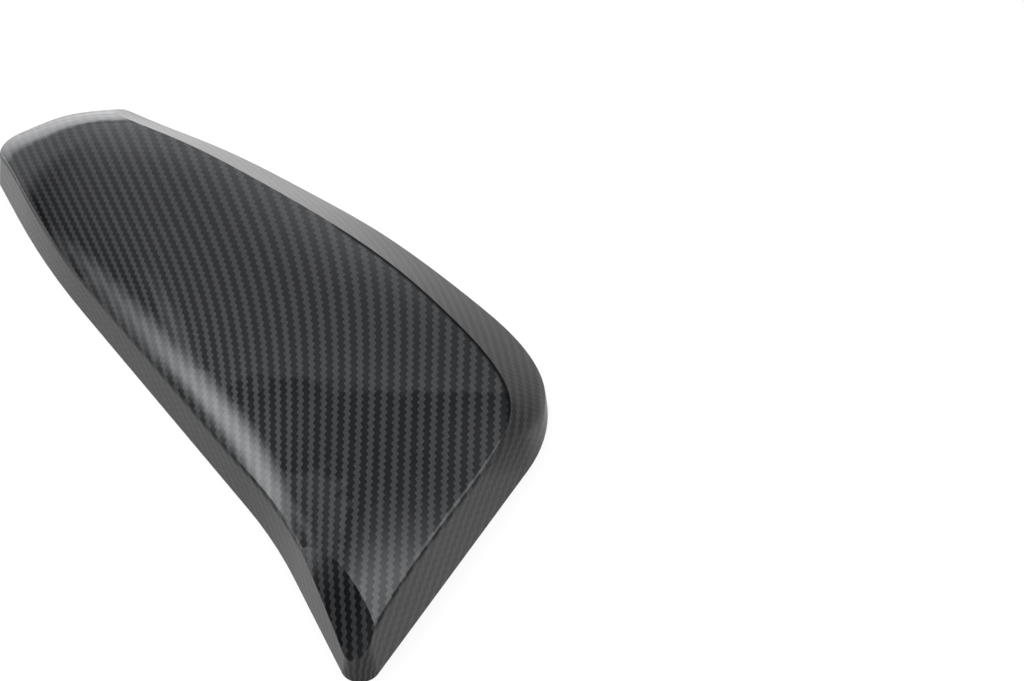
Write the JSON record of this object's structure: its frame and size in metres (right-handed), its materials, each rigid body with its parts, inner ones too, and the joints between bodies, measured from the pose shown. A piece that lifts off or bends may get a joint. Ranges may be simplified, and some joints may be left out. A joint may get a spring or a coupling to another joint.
{
  "type": "wing mirror cover",
  "caption": "One-piece wing mirror cover: a crowned, tapering shell with a creased far edge, carbon-weave look under a gloss coat, open underside with snap hooks.",
  "frame": {"origin": "centre of the rim's bounding box, in the plane of the rim", "axes": "+X from the blunt end to the pointed tip, +Y from the long edge to the wide corner, +Z out of the crowned side"},
  "size_m": [0.2582, 0.1076, 0.0326],
  "materials": {
    "carbon_look_gloss": "printed grey and black weave columns under a high-gloss clear coat, plain black plastic inside"
  },
  "bodies": {
    "root": {"mirror_cover": "carbon_look_gloss"}
  },
  "joints": []
}
